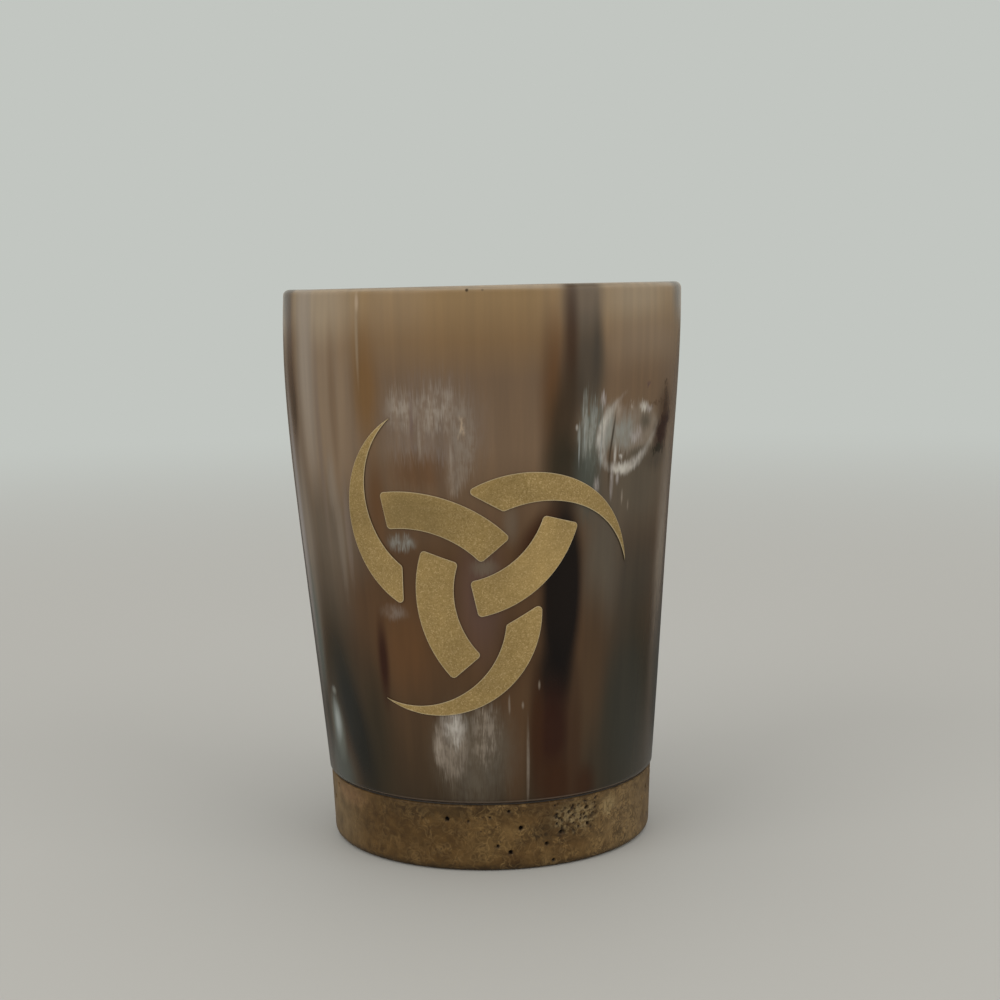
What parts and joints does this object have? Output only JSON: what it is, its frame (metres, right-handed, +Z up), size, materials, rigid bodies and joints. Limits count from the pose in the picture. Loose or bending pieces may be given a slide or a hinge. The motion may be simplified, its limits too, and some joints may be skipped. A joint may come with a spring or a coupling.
{
  "type": "horn drinking cup",
  "caption": "Tapered drinking cup of polished cattle horn, open at the top, on a glued turned wooden base, with a gold leaf figure of interlocked horns on its front.",
  "frame": {"origin": "centre of the base's flat underside, on the surface the cup stands on", "axes": "+Z up through the open rim, -Y out of the front where the gold figure is, +X to the right seen from the front"},
  "size_m": [0.0561, 0.056, 0.078],
  "materials": {
    "polished_horn": "polished cattle horn, amber to near black with pale streaks",
    "pitted_wood": "turned, oiled, open pored",
    "dark_glue": "set wood glue",
    "clear_resin": "clear poured resin",
    "gold_leaf": "satin metallic gold film with fine flake"
  },
  "bodies": {
    "root": {"horn_sleeve": "polished_horn", "wooden_base": "pitted_wood", "glue_layer": "dark_glue", "floor_seal": "clear_resin", "crescent_leaf_right": "gold_leaf", "crescent_leaf_left": "gold_leaf", "crescent_leaf_bottom": "gold_leaf", "bar_leaf_right": "gold_leaf", "bar_leaf_top": "gold_leaf", "bar_leaf_left": "gold_leaf"}
  },
  "joints": []
}
